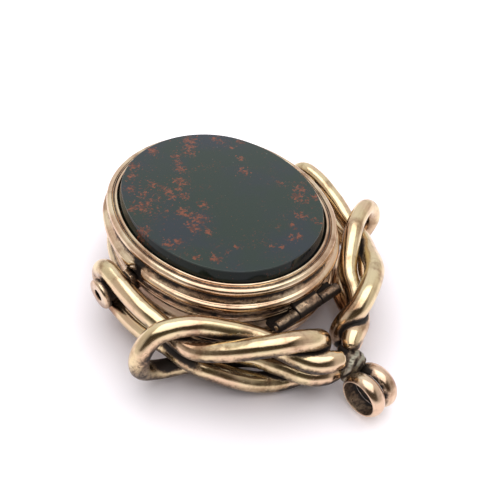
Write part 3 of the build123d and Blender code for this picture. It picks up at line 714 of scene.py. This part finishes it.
def wire_soot(rows, side, other):
    """Soot and painted shade on a strand: both in corners, painted shade on lower sides, and painted shade on
    top of the lower strands.

    Corners lie at the arm's other wire, at the other arm, at the bush and, more faintly, at the solder.
    """
    opposite = wire_paths(-side)[1][:40:3]
    bush = np.array([(side * x, 0, 0) for x in np.linspace(11.3, 13.0, 8)])
    solder_points = np.array([(x, SOLDER_Y, z) for x in (-0.4, 0.0, 0.4) for z in (-0.8, 0.0, 0.8)])
    soot = crevice(rows, (other, 0.88), (opposite, 0.75), (bush, 0.80))
    soot = np.maximum(soot, 0.5 * crevice(rows, (solder_points, 0.8)))
    middle = rows.mean(1, keepdims=True)
    rise = (rows - middle)[..., 2] / np.linalg.norm(rows - middle, axis=-1)
    # Painted shade on the lower sides, more on the left arm towards the bail
    film_and_shade = UNDERSIDE_SHADE + LEFT_UNDERSIDE_SHADE * (side < 0) * smooth(-4.0, -8.0, rows[..., 1])
    soot = np.maximum(soot, film_and_shade * (1 - smooth(-0.15, 0.7, rise)) * (1 + 0.4 * wander(rows, 2.6, 7)))
    # Painted shade on top of the lower strands, under the upper ones, strongest at the shoulders
    under = (middle[..., 2] < 0) * smooth(-5.0, -8.0, rows[..., 1])
    lower_strand_shade = LOWER_STRAND_SHADE + SHOULDER_SHADE * smooth(9.5, 11.5, np.abs(rows[..., 0])) + 0.08 * wander(rows, 1.9, 21)
    return np.maximum(soot, lower_strand_shade * under * smooth(0.1, 0.9, rise))


def arm(side, word):
    """The two wires of an arm. The bail wire has both ends in the solder, and the pivot wire is closed."""
    bail, pivot = wire_paths(side)
    bail_middle, pivot_middle = (np.vstack([path[::4], path[::4] * MIRROR]) for path in (bail, pivot))
    rows, lie = both_halves(*wire_rows(bail, side, drawn_in=True))
    shape = Shape().grid(stirrup(rows), wire_soot(rows, side, pivot_middle), lie, capped=True)
    shape.piece(f"{word}_bail_wire", "stirrup", WIRE_GOLD, "gold", f"{word}_bail_loop")
    rows, lie = both_halves(*wire_rows(pivot, side, drawn_in=False))
    soot = wire_soot(rows, side, bail_middle)
    shape = Shape().grid(stirrup(rows)[:-1], soot[:-1], lie[:-1], along=True)
    shape.piece(f"{word}_pivot_wire", "stirrup", WIRE_GOLD, "gold", f"{word}_pivot_loop")


for side, word in SIDES:
    arm(side, word)


# Bail

def bail_ring(side, word):
    """Domed band turned about the bail's axis; soot and painted shade in its bore, by the other ring and at
    the solder.
    """
    middle, dome_middle, dome_radius = RING_WIDTH / 2, 1.09, 0.915
    band = soften(np.vstack([
        [(0.04, RING_BORE), (middle, RING_BORE - 0.01), (RING_WIDTH - 0.04, RING_BORE)],
        [(RING_WIDTH - 0.01, RING_EDGE)],
        arc((middle, dome_middle), dome_radius, 38, 142, 24),
        [(0.008, RING_EDGE)],
    ]), 0.045, 80)
    rows, lie = turned(band * [side, 1], stirrup(np.array([0.0, BAIL_Y, BAIL_Z])), 140)
    joint = stirrup(np.array([0.0, SOLDER_Y, -0.2]))
    bore = 0.45 * (1 - smooth(1.53, 1.60, band[:, 1]))[:, None]
    between = np.exp(-((rows[..., 0] - side * 0.02) / 0.26) ** 2) * (0.5 + 0.3 * wander(rows, 0.7, 12))
    soldered = (0.8 + 0.3 * wander(rows, 0.5, 14)) * np.exp(-((rows - joint) ** 2).sum(-1) / 1.3**2)
    Shape().grid(rows, np.clip(bore + between + soldered, 0, 1.2), lie, along=True).piece(
        f"{word}_bail_band", "stirrup", BAIL_GOLD, "gold", f"{word}_bail_ring")


def solder():
    """Squared ball with lumps that has run up between the arms and down over the lower wires' ends."""
    pole_gap, squareness = 0.06, 0.8
    a, b = np.linspace(pole_gap, np.pi - pole_gap, 80)[:, None], round_steps(128)[None]
    ball = np.stack([np.sin(a) * np.cos(b), -np.cos(a) + 0 * b, np.sin(a) * np.sin(b)], -1)
    ball = np.sign(ball) * np.abs(ball) ** squareness
    lumps = 0.92 + 0.06 * wander(ball, 1.3, 4) + 0.04 * wander(ball, 0.6, 8) + 0.02 * wander(ball, 0.25, 3)
    corner = smooth(0.0, 1.0, ball[..., 1])
    low = smooth(0.2, 1.0, -ball[..., 2])
    blob = ball * lumps[..., None] * SOLDER_SIZE
    blob[..., 0] = blob[..., 0] * (1 - 0.45 * corner) - 0.5 * low
    blob[..., 1] += 0.75 * corner - 0.3 * low
    blob[..., 2] += 0.35 * corner
    blob += SOLDER_PLACE
    # Soot in patches, and soot and painted shade on the side that runs up into the hollow between the arms
    soot = 0.3 + 0.45 * wander(blob, 0.6, 2) + 0.7 * smooth(-17.9, -17.0, blob[..., 1])
    Shape().grid(stirrup(blob), np.clip(soot, 0, 1.2), blob, capped=True).piece(
        "solder_lump", "stirrup", SOLDER, "solder", "bail_solder")


for side, word in SIDES:
    bail_ring(side, word)
solder()


# Swivel

AXIS = (0, 0, HALF)


def bush(side, word):
    """Neck inside the wire's turn, round head outside it, and a thin lip rolled in at the bore's mouth."""
    outline = soften(np.array([
        (BUSH_START, BORE_RADIUS), (BUSH_START, NECK_RADIUS), (BUSH_SEAT, NECK_RADIUS),
        (BUSH_SEAT, HEAD_RADIUS - 0.02), (BUSH_END - 0.20, HEAD_RADIUS),
        (BUSH_END - 0.02, HEAD_RADIUS - 0.14), (BUSH_END, 0.66), (BUSH_END - 0.04, 0.52),
        (BUSH_END - 0.24, 0.50), (BUSH_END - 0.26, BORE_RADIUS),
    ]), 0.035, 90)
    rows, lie = turned(outline * [side, 1], AXIS)
    # Soot and painted shade at the seat, round the mouth and down the bore
    seat, mouth = (BUSH_SEAT, 1.1, 0.35, 1.0), (BUSH_END - 0.20, 0.48, 0.12, 1.0)
    bore = (12.0, 0.64, 0.9, 1.0)
    Shape().grid(rows, soot_and_shade_spots(outline, seat, mouth, bore)[:, None], lie, along=True).piece(
        f"{word}_bush_turned", "stirrup", BAIL_GOLD, "gold", f"{word}_pivot_bush")


def pin(side, word):
    """Round pin with a rounded end, dark all over and a little less dark there than at its root."""
    outline = np.array([
        (PIN_ROOT, 0.02), (PIN_ROOT, PIN_RADIUS), (PIN_END - 0.11, PIN_RADIUS), (PIN_END - 0.05, 0.58),
        (PIN_END - 0.01, 0.5), (PIN_END, 0.3), (PIN_END, 0.02),
    ])
    rows, lie = turned(outline * [side, 1], AXIS)
    soot = np.where(outline[:, :1] == PIN_ROOT, 0.9, 0.8)
    Shape().grid(rows, soot, lie, capped=True).piece(
        f"{word}_pin_turned", "case", CASE_GOLD, "pin_metal", f"{word}_swivel_pin")


def collar(side, word):
    """Collar on the pin between lug and bush, its outer corners broken."""
    inside, edge = PIN_RADIUS + 0.005, NECK_RADIUS - 0.03
    outline = soften(np.array([
        (COLLAR_START, inside), (COLLAR_START, edge), (COLLAR_START + 0.04, NECK_RADIUS),
        (COLLAR_END - 0.04, NECK_RADIUS), (COLLAR_END, edge), (COLLAR_END, inside),
    ]), 0.02, 60)
    rows, lie = turned(outline * [side, 1], AXIS)
    Shape().grid(rows, 0.5, lie, along=True).piece(
        f"{word}_collar_turned", "case", CASE_GOLD, "gold", f"{word}_pivot_collar")


for side, word in SIDES:
    bush(side, word)
    pin(side, word)
    collar(side, word)


# Hinge

def knuckle(name, node, body, start, stop, rise):
    """Barrel with a leaf, up where rise is 1 and down where it is -1: one outline drawn along the hinge."""
    foot = rise * 0.32
    low, high = (90, 340) if rise > 0 else (20, 270)
    barrel = arc((0, 0), BARREL_RADIUS, low, high, 40)
    leaf = [(0.75, rise * 0.78), (LEAF_REACH, rise * 0.80), (LEAF_REACH, foot), (0.78, foot)]
    leaf.append((BARREL_RADIUS, rise * 0.12))
    outline = soften(np.vstack([barrel, leaf[::-1] if rise > 0 else leaf]), 0.03, 90)
    x = np.array([start, start + 0.04, start + 0.1, stop - 0.1, stop - 0.04, stop])[:, None]
    drawn_in = np.array([0.93, 0.985, 1.0, 1.0, 0.985, 0.93])[:, None]
    y = outline[:, 0] * drawn_in - HINGE_REACH
    z = outline[:, 1] * drawn_in + HALF + SEAM
    rows = np.stack([x + 0 * y, y, z], -1)
    # Painted highlight and shade: light crown, dark sides; soot and painted shade on the leaf and at the ends
    lit_crown, at_wall = smooth(0.30, 0.48, outline[:, 1]), smooth(0.3, 0.55, outline[:, 0])
    at_ends = np.array([0.5, 0.2, 0, 0, 0.2, 0.5])[:, None]
    soot_and_shade = np.clip(0.74 - 0.31 * lit_crown + 0.7 * at_wall, 0, 1) + at_ends
    Shape().grid(rows, np.clip(soot_and_shade, 0, 1), capped=True).piece(name, body, CASE_GOLD, "gold", node)


def hinge_pin():
    """Pin through the three knuckles, with both ends rounded over."""
    end = np.array([
        (HINGE_PIN_END - 0.17, HINGE_PIN_RADIUS), (HINGE_PIN_END - 0.05, HINGE_PIN_RADIUS - 0.02),
        (HINGE_PIN_END, HINGE_PIN_RADIUS - 0.09), (HINGE_PIN_END, 0.02),
    ])
    outline = np.vstack([end[::-1] * [-1, 1], end])
    rows, lie = turned(outline, (0, -HINGE_REACH, HALF + SEAM), 48)
    Shape().grid(rows, 0.3, lie, capped=True).piece(
        "hinge_pin_turned", "case", CASE_GOLD, "pin_metal", "hinge_pin")


knuckle("hinge_left_formed", "hinge_knuckle_left", "case", -OUTER_END, -OUTER_START, -1)
knuckle("hinge_right_formed", "hinge_knuckle_right", "case", OUTER_START, OUTER_END, -1)
knuckle("hinge_centre_formed", "hinge_knuckle_centre", "lid", -CENTRE_END, CENTRE_END, 1)
hinge_pin()

# What lies inside the case keeps its own shape
for node in ("lid_plate", "body_plate", "closing_rim"):
    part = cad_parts[node]
    part.data.materials.clear()
    part.data.materials.append(INNER_GOLD)


# Table

# White card, in metres: half width, and its glow, which comes up between two distances from the fob's middle
CARD = 2.0
GLOW_MIDDLE, GLOW_START, GLOW_END, GLOW = (0.0, -0.004, 0.0), 0.011, 0.022, 0.36


def table():
    """White card under the fob. It glows away from the fob, and only for rays that look at it."""
    mesh = bpy.data.meshes.new("table_top")
    corners = [(-CARD, -CARD, 0), (CARD, -CARD, 0), (CARD, CARD, 0), (-CARD, CARD, 0)]
    mesh.from_pydata(corners, [], [(0, 1, 2, 3)])
    card = bpy.data.objects.new("table_top", mesh)
    bpy.context.scene.collection.objects.link(card)
    n = Finish("white_card")
    away = n.add("ShaderNodeVectorMath", {0: n.object, 1: GLOW_MIDDLE}, operation="DISTANCE").outputs["Value"]
    ray = n.add("ShaderNodeLightPath").outputs
    seen = n.maths("MAXIMUM", ray["Is Glossy Ray"], ray["Is Transmission Ray"])
    seen = n.maths("MAXIMUM", ray["Is Camera Ray"], seen)
    glow = n.maths("MULTIPLY", n.ramp(away, GLOW_START, GLOW_END, 0.0, GLOW), seen)
    mesh.materials.append(n.set(
        Base_Color=(0.965, 0.93, 0.99, 1), Roughness=0.6, Specular_IOR_Level=0.2,
        Emission_Color=(1.0, 0.98, 1.0, 1), Emission_Strength=glow))


# Light

# The room along its slope, from dark at 0 to bright at 1: colours of its ends, and shades between them
NEAR_WALL, FAR_WINDOW = (0.10, 0.08, 0.055, 1), (1.00, 1.05, 1.10, 1)
ROOM_SHADES = ((0.30, 0.04), (0.47, 0.10), (0.56, 0.36), (0.68, 0.75), (0.85, 0.98))
# Ways in which its slope, its side cards and its height are measured, and the colours of cards and wall
SLOPE_WAY, SIDE_WAY, UPWARDS = (0.50, 0.57, 0.65), (0.75, -0.66, 0.0), (0.0, 0.0, 1.0)
SIDE_CARD, LOW_WALL = (0.92, 0.89, 0.87, 1), (0.95, 0.94, 0.94, 1)

# Soft square light overhead: place, size and power, and the place that it faces
LAMP_PLACE, LAMP_SIZE, LAMP_POWER, LAMP_AIM = (-15, -15, 262), 285, 0.42, (0, -6, 4)


def room_colour(at, shade):
    """Shade of grey, warmer the darker it is, and bluer the nearer it lies to the slope's bright end."""
    warm = 0.35 * (1 - shade)
    red, blue = (1.02 - 0.06 * at) * (1 + 0.6 * warm), (0.97 + 0.07 * at) * (1 - warm)
    return (shade * red, shade, shade * blue, 1)


def room():
    """Light from all round: a slope from dark to bright, a pale card at each side, and a low pale wall."""
    world = bpy.data.worlds.new("studio")
    bpy.context.scene.world = world
    world.use_nodes = True
    n = Nodes(world.node_tree)
    sky = n.add("ShaderNodeTexCoord").outputs["Generated"]
    slope, beside, rise = (
        n.add("ShaderNodeVectorMath", {0: sky, 1: way}, operation="DOT_PRODUCT").outputs["Value"]
        for way in (SLOPE_WAY, SIDE_WAY, UPWARDS))
    shades = n.add("ShaderNodeValToRGB", {0: n.ramp(slope, -0.6, 1.2, easing="LINEAR")})
    shades.color_ramp.elements[0].color = NEAR_WALL
    shades.color_ramp.elements[1].color = FAR_WINDOW
    for at, shade in ROOM_SHADES:
        shades.color_ramp.elements.new(at).color = room_colour(at, shade)
    carded = n.ramp(n.maths("ABSOLUTE", beside), 0.45, 0.85, 0.0, 0.75)
    colour = n.mix(carded, shades.outputs[0], SIDE_CARD)
    walled = n.ramp(rise, 0.12, 0.22, 1.0, 0.0)
    n.tree.links.new(n.mix(walled, colour, LOW_WALL), n.tree.nodes["Background"].inputs["Color"])


def lamp():
    """The light overhead, turned to face the fob."""
    data = bpy.data.lights.new("window", "AREA")
    data.shape, data.size, data.energy, data.color = "SQUARE", LAMP_SIZE * MM, LAMP_POWER, (1.0, 0.99, 1.0)
    thing = bpy.data.objects.new("window", data)
    bpy.context.scene.collection.objects.link(thing)
    thing.location = Vector(LAMP_PLACE) * MM
    thing.rotation_euler = (Vector(LAMP_PLACE) - Vector(LAMP_AIM)).to_track_quat("Z", "Y").to_euler()


# Camera

# Its place, the azimuth and the elevation that it looks from, its tilt, and its lens
CAMERA_PLACE = (-27.0915, -32.3345, 44.8799)
AZIMUTH, ELEVATION, TILT = np.radians((225.827, 45.124, 5.403))
LENS, SENSOR = 43.014, 36.0


def photo_camera():
    """Camera turned to its azimuth, then up to its elevation, then tilted."""
    data = bpy.data.cameras.new("photo_view")
    camera = bpy.data.objects.new("photo_view", data)
    bpy.context.scene.collection.objects.link(camera)
    bpy.context.scene.camera = camera
    turn = Matrix.Rotation(AZIMUTH + TURN / 4, 4, "Z") @ Matrix.Rotation(TURN / 4 - ELEVATION, 4, "X")
    turn = turn @ Matrix.Rotation(TILT, 4, "Z")
    camera.matrix_world = Matrix.Translation(Vector(CAMERA_PLACE) * MM) @ turn
    data.lens, data.sensor_width = LENS, SENSOR
    data.clip_start, data.clip_end = 0.002, 10.0


table()
room()
lamp()
photo_camera()

bpy.context.scene.view_settings.view_transform = "Standard"
